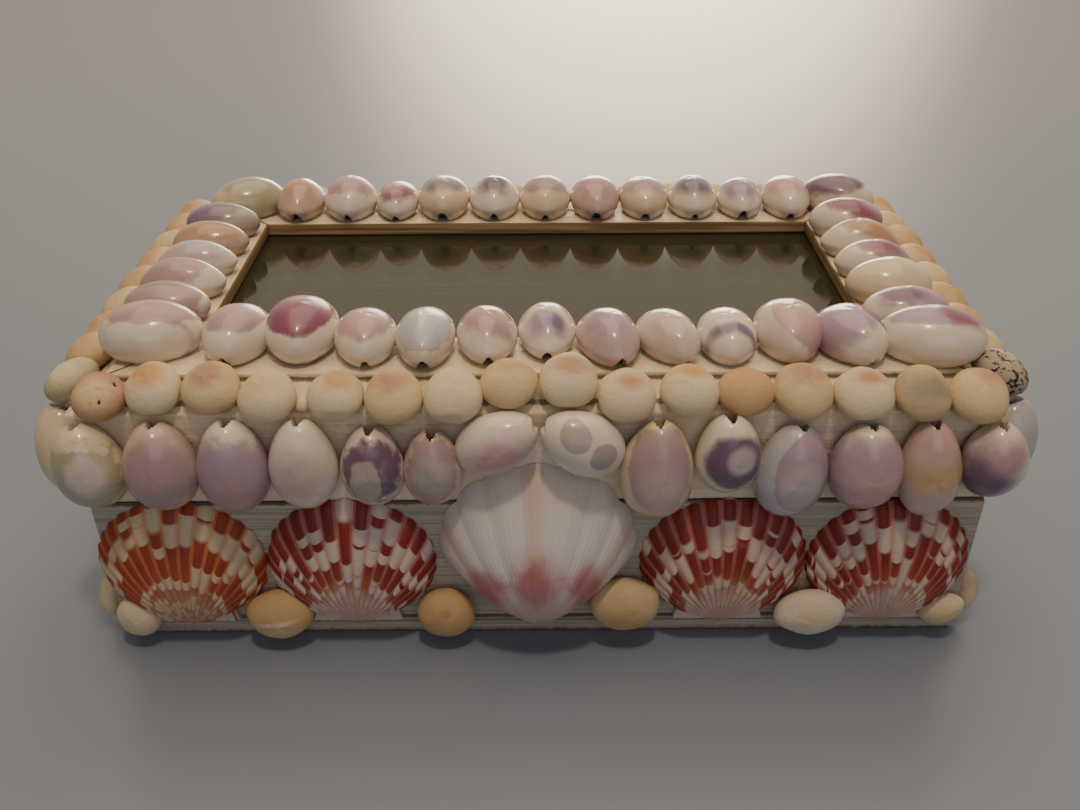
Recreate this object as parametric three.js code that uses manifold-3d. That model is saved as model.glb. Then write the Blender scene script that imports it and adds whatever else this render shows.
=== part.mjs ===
// A shell-work trinket box: a painted wooden box with a lift-off lid that frames a glass window.
// Scallops and small worn shells are glued round the base, cowries round the lid's skirt, small
// round shells on the lid's bevel, and a ring of cowries on its flat top.
// Millimetres, +Z up, the origin at the centre of the underside, the front facing -Y.
import * as THREE from 'three';
import { mergeVertices } from 'three/addons/utils/BufferGeometryUtils.js';
import Module from 'manifold-3d';

const wasm = await Module();
wasm.setup();

// Driving sizes of the woodwork.
const boxWidth = 240;
const boxDepth = 138;
const wallThickness = 7;
const boardThickness = 4;
const seamHeight = 47;
const skirtTop = 69;
const bevelFoot = 75.3;
const bevelHead = 80.2;
const bevelRun = 8.9;
const lidTop = 82;
const mouldingWidth = 28.5;
const rebateWidth = 5;
const lipThickness = 4;
const glassThickness = 3;
const edgeChamfer = 0.8;

// Glue lines and joints between separate pieces, and how shells that touch press together.
const joint = 0.3;
const touchVolume = 0.6;
const slideStep = 0.2;

const bevelSlope = Math.atan2(bevelHead - bevelFoot, bevelRun);
const wallSlope = Math.PI / 2;

const colours = {
  paint: 0xd9cdb4,
  glass: 0xb9bfae,
  calico: 0xb4553f,
  pale: 0xe6ddd6,
  cowrie: 0xcdbcc2,
  worn: 0xd8b98c
};

// Each side is worked on as if it were the front: x runs to the right for someone facing it, the
// outer face of the wood is at y = 0 and everything solid lies behind it, at y > 0.
const sides = [
  { name: 'front', turn: 0, reach: boxDepth / 2, half: boxWidth / 2, long: true },
  { name: 'right', turn: Math.PI / 2, reach: boxWidth / 2, half: boxDepth / 2, long: false },
  { name: 'back', turn: Math.PI, reach: boxDepth / 2, half: boxWidth / 2, long: true },
  { name: 'left', turn: -Math.PI / 2, reach: boxWidth / 2, half: boxDepth / 2, long: false }
];

const box = new THREE.Group();
const sideGroups = {};
for (const side of sides) {
  const group = new THREE.Group();
  group.rotation.z = side.turn;
  sideGroups[side.name] = group;
  box.add(group);
}

function addPiece(parent, name, geometry, colour, roughness) {
  const material = new THREE.MeshStandardMaterial({ color: colour, roughness, metalness: 0 });
  const mesh = new THREE.Mesh(geometry, material);
  mesh.name = name;
  parent.add(mesh);
  return mesh;
}

function addToSide(side, name, geometry, colour, roughness) {
  const mesh = addPiece(sideGroups[side.name], name, geometry, colour, roughness);
  mesh.position.y = -side.reach;
}

// ---------------------------------------------------------------- woodwork

// A board of constant section. The outline is [y, z] points, drawn clockwise as seen along +x.
function board(outline, half) {
  const shape = new THREE.Shape(outline.map(([y, z]) => new THREE.Vector2(y, z)));
  const geometry = new THREE.ExtrudeGeometry(shape, { depth: 2 * half, bevelEnabled: false });
  geometry.translate(0, 0, -half);
  const turn = new THREE.Matrix4().makeBasis(
    new THREE.Vector3(0, 1, 0),
    new THREE.Vector3(0, 0, 1),
    new THREE.Vector3(1, 0, 0)
  );
  return geometry.applyMatrix4(turn);
}

// Cuts both ends of a board at 45 degrees, shorter the further in from the outer face.
function mitre(geometry, half) {
  const points = geometry.attributes.position;
  for (let i = 0; i < points.count; i++) {
    const end = half - points.getY(i) - joint / 2;
    points.setX(i, Math.sign(points.getX(i)) * end);
  }
  return geometry;
}

function boardHalf(side) {
  return side.long ? side.half : side.half - wallThickness - joint;
}

function addBaseWall(side) {
  const foot = boardThickness + joint;
  const outline = [
    [0, foot],
    [wallThickness, foot],
    [wallThickness, seamHeight],
    [edgeChamfer, seamHeight],
    [0, seamHeight - edgeChamfer]
  ];
  addToSide(side, `base_${side.name}_wall`, board(outline, boardHalf(side)), colours.paint, 0.8);
}

function addBottomBoard() {
  const geometry = new THREE.BoxGeometry(boxWidth, boxDepth, boardThickness);
  const mesh = addPiece(box, 'base_bottom_board', geometry, colours.paint, 0.85);
  mesh.position.z = boardThickness / 2;
}

function addLidSkirt(side) {
  const foot = seamHeight + joint;
  const outline = [
    [edgeChamfer, foot],
    [wallThickness, foot],
    [wallThickness, skirtTop - joint],
    [0, skirtTop - joint],
    [0, foot + edgeChamfer]
  ];
  addToSide(side, `lid_${side.name}_skirt`, board(outline, boardHalf(side)), colours.paint, 0.8);
}

// One mitred length of the lid's moulding, with a rebate below its inner lip for the glass.
function addLidMoulding(side) {
  const outline = [
    [0, skirtTop],
    [mouldingWidth - rebateWidth, skirtTop],
    [mouldingWidth - rebateWidth, lidTop - lipThickness],
    [mouldingWidth, lidTop - lipThickness],
    [mouldingWidth, lidTop],
    [bevelRun, lidTop],
    [bevelRun, bevelHead],
    [0, bevelFoot]
  ];
  const geometry = mitre(board(outline, side.half), side.half);
  addToSide(side, `lid_${side.name}_moulding`, geometry, colours.paint, 0.75);
}

function addGlass() {
  const inset = mouldingWidth - rebateWidth + joint;
  const geometry = new THREE.BoxGeometry(boxWidth - 2 * inset, boxDepth - 2 * inset, glassThickness);
  const mesh = addPiece(box, 'lid_glass', geometry, colours.glass, 0.05);
  mesh.position.z = lidTop - lipThickness - joint - glassThickness / 2;
}

// ---------------------------------------------------------------- shells

function closedGeometry(vertices, faces) {
  const geometry = new THREE.BufferGeometry();
  geometry.setAttribute('position', new THREE.Float32BufferAttribute(vertices.flat(), 3));
  geometry.setIndex(faces.flat());
  return geometry;
}

function toSolid(geometry) {
  const bare = geometry.clone();
  bare.deleteAttribute('normal');
  bare.deleteAttribute('uv');
  const merged = mergeVertices(bare, 1e-4);
  const mesh = new wasm.Mesh({
    numProp: 3,
    vertProperties: new Float32Array(merged.attributes.position.array),
    triVerts: new Uint32Array(merged.index.array)
  });
  return new wasm.Manifold(mesh);
}

function toGeometry(solid) {
  const mesh = solid.getMesh();
  const geometry = new THREE.BufferGeometry();
  geometry.setAttribute('position', new THREE.Float32BufferAttribute(mesh.vertProperties, 3));
  geometry.setIndex(Array.from(mesh.triVerts));
  return geometry;
}

// The corners of a shell's egg outline, its narrow end towards +y, flat sides facing along x.
function eggOutline(width, length, taper, corners) {
  const points = [];
  for (let i = 0; i < corners; i++) {
    const angle = ((i + 0.5) / corners) * 2 * Math.PI;
    points.push([Math.cos(angle) * (1 - taper * Math.sin(angle)), Math.sin(angle)]);
  }
  const reachX = Math.max(...points.map(([x]) => x));
  const reachY = Math.max(...points.map(([, y]) => y));
  return points.map(([x, y]) => [(x / reachX) * (width / 2), (y / reachY) * (length / 2)]);
}

// A domed shell lying mouth down: rings of its outline from the flat underside to the crown.
// A ring is [its height as a share of the shell's, its spread as a share of the outline].
const cowrieRings = [[0, 0.8], [0.37, 1], [0.8, 0.72]];
const wornRings = [[0, 0.62], [0.42, 1], [0.85, 0.55]];
function domedShell({ width, length, height, taper, rings, corners }) {
  const vertices = [];
  const faces = [];
  for (const [level, spread] of rings) {
    for (const [x, y] of eggOutline(width * spread, length * spread, taper, corners)) {
      vertices.push([x, y, level * height]);
    }
  }
  const crown = vertices.length;
  vertices.push([0, 0, height]);
  for (let i = 1; i < corners - 1; i++) {
    faces.push([0, i + 1, i]);
  }
  for (let ring = 0; ring < rings.length; ring++) {
    for (let i = 0; i < corners; i++) {
      const a = ring * corners + i;
      const b = ring * corners + ((i + 1) % corners);
      if (ring === rings.length - 1) {
        faces.push([a, b, crown]);
      } else {
        faces.push([a, b, b + corners], [a, b + corners, a + corners]);
      }
    }
  }
  return closedGeometry(vertices, faces);
}

// Where a shell goes on a sloping face of a side: x along the side, `up` the slope from the edge
// at [y, z] where the face starts, turned by `lean` degrees so that its narrow end tips to +x.
function placed(geometry, { slope, edge }, x, { up, lean, lift }) {
  const turn = THREE.MathUtils.degToRad(lean);
  const right = new THREE.Vector3(1, 0, 0);
  const rise = new THREE.Vector3(0, Math.cos(slope), Math.sin(slope));
  const out = new THREE.Vector3(0, -Math.sin(slope), Math.cos(slope));
  const across = right.clone().multiplyScalar(Math.cos(turn)).addScaledVector(rise, -Math.sin(turn));
  const along = right.clone().multiplyScalar(Math.sin(turn)).addScaledVector(rise, Math.cos(turn));
  const seat = new THREE.Vector3(x, edge[0], edge[1]);
  seat.addScaledVector(rise, up).addScaledVector(out, joint + lift);
  return geometry.applyMatrix4(new THREE.Matrix4().makeBasis(across, along, out).setPosition(seat));
}

const faces = {
  wall: { slope: wallSlope, edge: [0, 0] },
  bevel: { slope: bevelSlope, edge: [0, bevelFoot] },
  top: { slope: 0, edge: [0, lidTop] }
};

// Half of the room that a leaning shell takes up along the row.
function halfRoom({ width, length, taper, corners, lean }) {
  const turn = THREE.MathUtils.degToRad(lean);
  const reaches = eggOutline(width, length, taper, corners).map(([x, y]) => (
    Math.abs(x * Math.cos(turn) + y * Math.sin(turn))
  ));
  return Math.max(...reaches);
}

// Lays shells from the left end of a row, each slid back until it presses on the one before, and
// joins them into one body.
function shellRow(face, start, shells) {
  let x = start;
  let row = null;
  let previous = null;
  for (const shell of shells) {
    const room = halfRoom(shell);
    const geometry = placed(domedShell(shell), face, x + room, shell);
    let solid = toSolid(geometry);
    let slid = 0;
    while (previous && previous.intersect(solid).volume() < touchVolume) {
      geometry.translate(-slideStep, 0, 0);
      slid += slideStep;
      solid = toSolid(geometry);
    }
    row = row ? row.add(solid) : solid;
    previous = solid;
    x += 2 * room - slid;
  }
  return toGeometry(row);
}

// A shell is [width, length, its centre's place up the face, lean in degrees, lift off the face].
function cowrie([width, length, up, lean = 0, lift = 0]) {
  const height = 0.67 * width;
  return { width, length, height, taper: 0.12, rings: cowrieRings, corners: 8, up, lean, lift };
}

function wornShell([width, length, up, lean = 0, lift = 0]) {
  const height = 0.6 * Math.min(width, length);
  return { width, length, height, taper: 0.06, rings: wornRings, corners: 8, up, lean, lift };
}

// The sides that are seen less have simpler shells, with fewer corners to their outlines.
function plain(shell) {
  return { ...shell, corners: 6 };
}

function plainWorn(sizes) {
  return { ...wornShell(sizes), corners: 6, rings: wornRings.slice(0, 2) };
}

// A row of like shells that differ a little in size.
function evenRow(count, [width, length, up]) {
  const sizes = [];
  for (let i = 0; i < count; i++) {
    const swell = 1 + 0.04 * Math.sin(2.4 * i + count);
    sizes.push([width * swell, length * (2 - swell), up]);
  }
  return sizes;
}

// ---------------------------------------------------------------- cowries round the skirt

const skirtRows = {
  front: [
    [19, 24.5, 62.5, -6], [19.8, 25.5, 62.5], [19, 26.5, 62.5], [18.4, 26, 63],
    [17, 23.5, 62], [15.8, 22, 61.5], [16, 22, 69, 60], [17, 22.5, 69, -60],
    [19.2, 28.5, 60.5], [17.4, 22, 64.5], [18.8, 27, 60.5, 6], [19.5, 24.5, 61.5],
    [16.5, 28.5, 60.5, -5], [17, 21.5, 62.5]
  ].map(cowrie),
  right: evenRow(8, [18.1, 25, 61.5]).map(cowrie).map(plain),
  back: evenRow(14, [18, 25, 61.5]).map(cowrie).map(plain),
  left: evenRow(8, [18.1, 25, 61.5]).map(cowrie).map(plain)
};

function addSkirtCowries(side) {
  const start = side.name === 'front' ? -side.half - 5.2 : -side.half;
  const geometry = shellRow(faces.wall, start, skirtRows[side.name]);
  addToSide(side, `${side.name}_skirt_cowries`, geometry, colours.cowrie, 0.25);
}

// ---------------------------------------------------------------- round shells on the bevel

// The fifth at the front is a bead of glue that fills the gap between its neighbours.
const bevelRows = {
  front: [
    [14.1, 13.5, 3.4], [14.8, 14.7, 4.9], [15.3, 15, 5, 0, 0.4], [15.3, 14.5, 2.9],
    [7.3, 7, 3.2], [15.3, 14, 3.1], [15.4, 15.6, 2.8], [15.6, 15.8, 2.8],
    [16.4, 13.7, 6.2, 0, 1.2], [16.8, 15.4, 6.8, 0, 1.4], [16.8, 14.5, 2.8],
    [16, 14.5, 4.3], [15.3, 13.2, 4.3], [15.8, 15.8, 4], [16, 14.4, 3.3],
    [15.3, 16, 3.6], [14.4, 15.6, 2.8]
  ].map(wornShell),
  right: evenRow(9, [15.1, 14, 1.2]).map(plainWorn),
  back: evenRow(16, [15.2, 15, 2.8]).map(plainWorn),
  left: evenRow(9, [15.1, 14, 0.8]).map(plainWorn)
};

function addBevelShells(side) {
  const start = side.name === 'front' ? -side.half + 3 : -side.half + 5;
  const geometry = shellRow(faces.bevel, start, bevelRows[side.name]);
  addToSide(side, `${side.name}_bevel_shells`, geometry, colours.worn, 0.8);
}

// ---------------------------------------------------------------- cowries round the window

const topRows = {
  front: [
    [20, 27, 22, 90], [18, 23, 21.5, 180], [19.5, 25, 23, 180], [17, 22, 20, 180],
    [16.4, 25, 20, 180], [17, 23, 21.5, 180], [16.4, 23, 24, 180], [17.2, 23, 19.5, 180],
    [16.2, 22, 20, 180], [16.4, 22, 20, 180], [18.2, 24, 21.5, 180], [17.3, 23, 19.5, 180],
    [19.5, 28, 17.5, -90]
  ].map(cowrie),
  right: [
    [16, 24, 18.3], [18, 25, 18.3], [16, 23, 18.3], [16.5, 24, 18.3], [17.5, 24, 18.3]
  ].map(cowrie).map(plain),
  back: [
    [18, 25, 18, -60], [17, 23, 18], [16, 22, 18], [17.7, 22, 18], [17, 22, 18],
    [17.5, 23.5, 18], [18, 22, 18], [18, 22, 18], [18, 23, 18], [15, 22, 18],
    [18.5, 23, 18], [17, 23, 18], [18, 25, 18, 60]
  ].map(cowrie).map(plain),
  left: [
    [16, 24, 16.5], [15.5, 24, 16.5], [15, 24, 16.5], [16.5, 25, 16.5], [16, 24, 16.5]
  ].map(cowrie).map(plain)
};
const topRowStarts = { front: -116, right: -42, back: -114, left: -39.5 };

function addTopCowries(side) {
  const geometry = shellRow(faces.top, topRowStarts[side.name], topRows[side.name]);
  addToSide(side, `${side.name}_top_cowries`, geometry, colours.cowrie, 0.25);
}

// ---------------------------------------------------------------- scallops round the base

// One valve of a scallop, its hinge at the origin and its fan opening towards +y: ribs run from
// the hinge to the rim, and the dome is highest a little below the middle.
function scallop({ width, height, depth, spread, ribs, earSpan }) {
  const fanAngle = THREE.MathUtils.degToRad(spread);
  const columns = 2 * ribs;
  const steps = [[0.2, 0.66], [0.55, 1], [1, 0]];
  const hinge = 0;
  const umbo = 1;
  const vertices = [[0, 0, 0], [0, 0, 0.3 * depth]];
  const faces = [];
  for (let i = 0; i <= columns; i++) {
    const across = (2 * i) / columns - 1;
    const angle = across * fanAngle;
    const crest = i % 2 === 1 ? 1 : 0;
    const reach = height * Math.cos(angle) * (1 + 0.02 * crest);
    const dome = 0.3 + 0.7 * Math.sqrt(1 - across * across);
    for (const [share, swell] of steps) {
      vertices.push([
        Math.sin(angle) * reach * share * (width / height),
        Math.cos(angle) * reach * share,
        swell * depth * dome * (1 + 0.08 * crest)
      ]);
    }
  }
  const at = (column, step) => 2 + column * steps.length + step;
  const rim = steps.length - 1;
  for (let i = 0; i < columns; i++) {
    faces.push([umbo, at(i + 1, 0), at(i, 0)], [hinge, at(i, rim), at(i + 1, rim)]);
    for (let step = 0; step < rim; step++) {
      faces.push([at(i, step), at(i + 1, step), at(i + 1, step + 1)]);
      faces.push([at(i, step), at(i + 1, step + 1), at(i, step + 1)]);
    }
  }
  for (let step = 0; step < rim; step++) {
    faces.push([hinge, at(0, step), at(0, step + 1)]);
    faces.push([hinge, at(columns, step + 1), at(columns, step)]);
  }
  faces.push([hinge, umbo, at(0, 0)], [hinge, at(columns, 0), umbo]);
  const valve = closedGeometry(vertices, faces);
  return earSpan ? toGeometry(toSolid(valve).add(toSolid(ears(earSpan, height)))) : valve;
}

// The two flat ears along a scallop's hinge.
function ears(span, height) {
  const thickness = 1.4;
  const rise = 0.12 * height;
  const outline = new THREE.Shape([
    new THREE.Vector2(-span / 2, -0.6),
    new THREE.Vector2(span / 2, -0.6),
    new THREE.Vector2(0.45 * span, rise),
    new THREE.Vector2(-0.45 * span, rise)
  ]);
  return new THREE.ExtrudeGeometry(outline, { depth: thickness, bevelEnabled: false });
}

// A scallop is [centre along the side, hinge height, width, height] on a side of the base.
const hingeLine = 6.5;
const scallopRows = {
  front: [
    [-95.5, hingeLine, 45, 41.5], [-49.8, hingeLine, 45, 42], [0, 7.5, 54, 52.5],
    [51.2, hingeLine, 45.5, 42], [97, hingeLine, 43, 41]
  ],
  right: [-43, 0, 43].map((x) => [x, hingeLine, 42, 40]),
  back: [-95, -48, 0, 48, 95].map((x) => [x, hingeLine, 46, 41.5]),
  left: [-43, 0, 43].map((x) => [x, hingeLine, 42, 40])
};

function addScallops(side) {
  scallopRows[side.name].forEach(([x, hinge, width, height], i) => {
    const large = width > 50;
    const geometry = scallop({
      width,
      height,
      depth: large ? 15 : 8.5,
      spread: large ? 50 : 55,
      ribs: side.name === 'front' ? 9 : 5,
      earSpan: large ? 0 : 25
    });
    placed(geometry, faces.wall, x, { up: hinge, lean: 0, lift: 0 });
    const colour = large ? colours.pale : colours.calico;
    addToSide(side, `${side.name}_scallop_${i + 1}`, geometry, colour, 0.5);
  });
}

// ---------------------------------------------------------------- small worn shells of the base

// Each is glued on by itself: its centre along the side, then what `wornShell` takes.
const smallShells = {
  front: [
    [-113, 12.6, 13.5, 10.3], [-72.8, 16, 19, 11.5, 80], [-26, 16.5, 15.8, 11.5],
    [24.3, 17, 20, 14.5, 90], [76, 14.5, 20, 12.4, -90, 1.8], [114.2, 10, 13, 10.6, 70]
  ],
  right: [[-64, 11, 13, 11], [-21.5, 15, 14, 11.5], [21.5, 15, 14, 11.5]],
  back: [-114, -71.5, -24, 24, 71.5, 114].map((x) => [x, 13, 14, 11]),
  left: [[-21.5, 15, 14, 11.5], [21.5, 15, 14, 11.5], [64, 11, 13, 11]]
};

function addSmallShells(side) {
  smallShells[side.name].forEach(([x, ...sizes], i) => {
    const shell = side.name === 'front' ? wornShell(sizes) : plainWorn(sizes);
    const geometry = placed(domedShell(shell), faces.wall, x, shell);
    addToSide(side, `${side.name}_small_shell_${i + 1}`, geometry, colours.worn, 0.7);
  });
}

for (const side of sides) {
  addBaseWall(side);
  addLidSkirt(side);
  addLidMoulding(side);
  addSkirtCowries(side);
  addBevelShells(side);
  addTopCowries(side);
  addScallops(side);
  addSmallShells(side);
}
addBottomBoard();
addGlass();

export default box;
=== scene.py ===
# A shell-work trinket box: a cream-painted wooden box with a lift-off glazed lid, its outside
# covered with glued sea shells. Metres, +Z up, the front facing -Y, standing on z = 0.
import math
import random

import bmesh
import bpy
from mathutils import Matrix, Vector, noise


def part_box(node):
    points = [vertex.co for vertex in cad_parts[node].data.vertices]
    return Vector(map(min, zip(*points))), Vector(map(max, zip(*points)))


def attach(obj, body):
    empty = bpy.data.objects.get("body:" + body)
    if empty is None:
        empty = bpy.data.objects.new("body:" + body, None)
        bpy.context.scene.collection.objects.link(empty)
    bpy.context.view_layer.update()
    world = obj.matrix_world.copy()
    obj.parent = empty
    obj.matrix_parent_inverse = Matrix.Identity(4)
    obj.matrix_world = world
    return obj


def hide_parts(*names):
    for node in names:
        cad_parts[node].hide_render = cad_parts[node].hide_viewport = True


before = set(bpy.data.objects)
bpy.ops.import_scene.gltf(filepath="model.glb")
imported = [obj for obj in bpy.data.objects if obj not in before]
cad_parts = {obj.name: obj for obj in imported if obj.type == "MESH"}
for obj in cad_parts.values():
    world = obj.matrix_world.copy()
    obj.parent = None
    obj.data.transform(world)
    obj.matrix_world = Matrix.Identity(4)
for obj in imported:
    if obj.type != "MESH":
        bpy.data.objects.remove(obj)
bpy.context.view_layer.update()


# ------------------------ woodwork
# Thin pine boards, butted and pinned: four walls on a bottom board, and a lid of four skirt boards
# under a mitred picture moulding. Brushed with cream paint long ago, greyer on the base walls as
# painted shade under the lid; every seam and the foot are drawn darker, and the sawn edge round the
# window was left bare.

class Shade:
    """A socket of a finish's node tree, used in plain arithmetic."""

    def __init__(self, finish, socket):
        self.finish = finish
        self.socket = socket

    def maths(self, operation, *others):
        values = dict(enumerate((self, *others)))
        return self.finish.node("ShaderNodeMath", {"operation": operation}, values)

    def __add__(self, other):
        return self.maths("ADD", other)

    __radd__ = __add__

    def __mul__(self, other):
        return self.maths("MULTIPLY", other)

    __rmul__ = __mul__

    def __sub__(self, other):
        return self.maths("SUBTRACT", other)

    def __rsub__(self, other):
        return self.maths("MULTIPLY_ADD", -1.0, other)

    def __truediv__(self, other):
        return self.maths("DIVIDE", other)

    def __pow__(self, other):
        return self.maths("POWER", other)

    def __abs__(self):
        return self.maths("ABSOLUTE")

    def rises(self, low, high):
        """0 below low, 1 above high, and smooth between."""
        return self.finish.node("ShaderNodeMapRange", {"interpolation_type": "SMOOTHSTEP"},
                                {"Value": self, "From Min": low, "From Max": high})


class Finish:
    """One material and its nodes."""

    def __init__(self, name, **constants):
        self.material = bpy.data.materials.new(name)
        self.material.use_nodes = True
        self.tree = self.material.node_tree
        self.tree.nodes.clear()
        self.shader = self.tree.nodes.new("ShaderNodeBsdfPrincipled")
        output = self.tree.nodes.new("ShaderNodeOutputMaterial")
        self.tree.links.new(self.shader.outputs[0], output.inputs["Surface"])
        for socket, value in constants.items():
            self.shader.inputs[socket.replace("_", " ")].default_value = value

    def node(self, kind, settings=None, sockets=None, out=0):
        made = self.tree.nodes.new(kind)
        for name, value in (settings or {}).items():
            setattr(made, name, value)
        for name, value in (sockets or {}).items():
            if isinstance(value, Shade):
                self.tree.links.new(value.socket, made.inputs[name])
            else:
                made.inputs[name].default_value = value
        return Shade(self, made.outputs[out])

    def carried(self, name, out="Color"):
        """What the mesh carries on its points under that name."""
        return self.node("ShaderNodeAttribute", {"attribute_name": name}, out=out)

    def parts(self, vector):
        split = self.node("ShaderNodeSeparateXYZ", None, {0: vector})
        outputs = split.socket.node.outputs
        return [Shade(self, outputs[axis]) for axis in range(3)]

    def vector(self, x, y, z):
        return self.node("ShaderNodeCombineXYZ", None, {0: x, 1: y, 2: z})

    def stretched(self, vector, scale):
        return self.node("ShaderNodeVectorMath", {"operation": "MULTIPLY"}, {0: vector, 1: scale})

    def grain(self, vector, scale, detail, roughness):
        return self.node("ShaderNodeTexNoise", None,
                         {"Vector": vector, "Scale": scale, "Detail": detail,
                          "Roughness": roughness})

    def blend(self, factor, first, second):
        return self.node("ShaderNodeMix", {"data_type": "RGBA"}, {0: factor, 6: first, 7: second},
                         out=2)

    def shaded(self, colour, value):
        """The colour made darker or lighter by a number."""
        return self.node("ShaderNodeVectorMath", {"operation": "SCALE"}, {0: colour, 3: value})

    def bump(self, height, distance, strength=1.0):
        return self.node("ShaderNodeBump", None,
                         {"Height": height, "Distance": distance, "Strength": strength})

    def wear(self, **looks):
        """Gives the shader what the nodes work out, socket by socket."""
        for socket, value in looks.items():
            self.tree.links.new(value.socket, self.shader.inputs[socket.replace("_", " ")])


def tone(red, green, blue, alpha=1.0):
    """A colour as a paint chip shows it, on 0 to 255, as the renderer counts light."""
    return tuple(((value / 255 + 0.055) / 1.055) ** 2.4 for value in (red, green, blue)) + (alpha,)


def paint_finish():
    wood = Finish("cream_painted_wood", Specular_IOR_Level=0.35)
    place = wood.carried("grain", out="Vector")
    bare = wood.carried("bare", out="Fac")
    height = wood.parts(place)[2]
    brush = wood.grain(wood.stretched(place, (22.0, 900.0, 900.0)), 1.0, 4.0, 0.6)
    grain = wood.grain(wood.stretched(place, (14.0, 1300.0, 1300.0)), 1.0, 4.0, 0.65)
    blotch = wood.grain(place, 55.0, 4.0, 0.6)
    grime = wood.grain(place, 420.0, 4.0, 0.7)
    cream = wood.blend(blotch.rises(0.35, 0.65), tone(224, 210, 180), tone(239, 229, 206))
    # The base walls take a greyer, darker copy of the cream paint than the lid: painted shade for
    # the walls lying under the overhanging lid and its shells.
    base_shade_grey = wood.blend(grain.rises(0.4, 0.62), tone(166, 160, 146), tone(196, 190, 174))
    on_base = 1 - height.rises(0.044, 0.05)
    coat = wood.blend(on_base, cream, base_shade_grey)
    scratch = grain.rises(0.6, 0.68) * grime.rises(0.35, 0.6)
    coat = wood.blend(scratch * (0.3 + on_base * 0.25), coat, tone(112, 100, 80))
    # Darker lines by height and half width: the lid's joint, the foot, and two on the moulding.
    seams = 0
    for seam, half in ((0.0471, 0.0012), (0.0061, 0.0011), (0.0805, 0.0008), (0.0769, 0.0006)):
        seams = seams + (1 - (abs(height - seam) + (grime - 0.5) * 0.0012).rises(half * 0.4, half))
    # The last two millimetres above the table are drawn darker too, with a ragged top.
    foot = 1 - (height + (grime - 0.5) * 0.003).rises(0.0, 0.002)
    darkening = seams * 0.7 + foot * 0.8 + blotch.rises(0.58, 0.75) * 0.16
    coat = wood.blend(darkening.rises(0.0, 1.0), coat, tone(88, 76, 58))
    sawn = wood.blend(brush.rises(0.4, 0.62), tone(130, 106, 76), tone(176, 150, 112))
    wear = (bare + (grime - 0.5) * 0.35).rises(0.35, 0.6)
    colour = wood.blend(wear, coat, sawn)
    glue = height.rises(0.05, 0.056) * (1 - wear) * blotch.rises(0.42, 0.56)
    smear = wood.grain(place, 170.0, 3.0, 0.6)
    relief = brush * 0.5 + grain * 0.6 + grime * (0.2 + on_base * 0.4) + smear * glue * 2.0
    wood.wear(Base_Color=colour, Roughness=0.5 + brush * 0.25 - glue * 0.3,
              Normal=wood.bump(relief, 0.0006, 0.6))
    return wood.material


painted_wood = paint_finish()
board_round = 0.0005
bare_depth = 0.0048
skirt_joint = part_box("lid_front_moulding")[0].z
hairline = 0.00004
same_place = 1e-5


def add_piece(name, shape, material, node):
    """Makes the shape into a visible piece, in place of its plain solid."""
    mesh = bpy.data.meshes.new(name)
    shape.to_mesh(mesh)
    shape.free()
    mesh.materials.append(material)
    piece = bpy.data.objects.new(name, mesh)
    bpy.context.scene.collection.objects.link(piece)
    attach(piece, "root")
    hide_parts(node)
    return mesh


def aged_board(node, along):
    """The board as it is, with its edges eased by hand and its grain running along its length."""
    shape = bmesh.new()
    shape.from_mesh(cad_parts[node].data)
    bmesh.ops.remove_doubles(shape, verts=shape.verts, dist=same_place)
    bmesh.ops.dissolve_limit(shape, angle_limit=0.01, verts=shape.verts, edges=shape.edges)
    corners = [edge for edge in shape.edges if edge.calc_face_angle(0) > 0.2
               and any(abs(vert.co.z - skirt_joint) > board_round for vert in edge.verts)]
    bmesh.ops.bevel(shape, geom=corners, offset=board_round, segments=2, profile=0.6,
                    affect="EDGES", clamp_overlap=True)
    run = shape.verts.layers.float_vector.new("grain")
    bare = shape.verts.layers.float.new("bare")
    shape.normal_update()
    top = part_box(node)[1].z
    moulding = node.endswith("moulding")
    for vert in shape.verts:
        if node.endswith("skirt") and vert.co.z > top - same_place:
            vert.co.z = skirt_joint - hairline
        x, y, z = vert.co
        vert[run] = (x, y, z) if along == "x" else (y, x, z)
        inward = vert.normal.x * x < -0.0002 if along == "y" else vert.normal.y * y < -0.0002
        level = abs(vert.normal.z) < 0.9
        vert[bare] = 1.0 if moulding and inward and level and z > top - bare_depth else 0.0
    add_piece(node + "_wood", shape, painted_wood, node)


sides = ("front", "right", "back", "left")
for side in sides:
    along = "x" if side in ("front", "back") else "y"
    for node in (f"base_{side}_wall", f"lid_{side}_skirt", f"lid_{side}_moulding"):
        aged_board(node, along)
aged_board("base_bottom_board", "x")


# ------------------------ the lid's glass
# One pane of old window glass in the moulding's rebate, held from below. It is clear and faintly
# olive, and mirrors the lip and the shells that stand round it.
# Its dark olive colour, laid on at part opacity, is painted shade for the dim inside of the box seen
# through it, over the glass's faint olive tint.
glass = Finish("window_glass", Base_Color=tone(60, 59, 44), Roughness=0.03, IOR=1.9, Alpha=0.6)
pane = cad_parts["lid_glass"]
pane.data.materials.clear()
pane.data.materials.append(glass.material)


# ------------------------ cowries round the skirt
# Money and ring cowries, mouth down, each pressed into clear glue with its notched end upwards.
# Rubbing has worn some of them through the white enamel to the purple layer and below.
lid_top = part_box("lid_front_moulding")[1].z
box_half = {"front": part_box("base_bottom_board")[1].y, "right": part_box("base_bottom_board")[1].x}
box_half["back"] = box_half["front"]
box_half["left"] = box_half["right"]
side_turn = {"front": 0.0, "right": math.pi / 2, "back": math.pi, "left": -math.pi / 2}
bevel_foot = 0.0753
bevel_rise = 0.0049
bevel_run = 0.0089
glue_line = 0.0003
crease_angle = 62
face_slope = {"wall": math.pi / 2, "bevel": math.atan2(bevel_rise, bevel_run), "top": 0.0}
face_edge = {"wall": 0.0, "bevel": bevel_foot, "top": lid_top}


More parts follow.
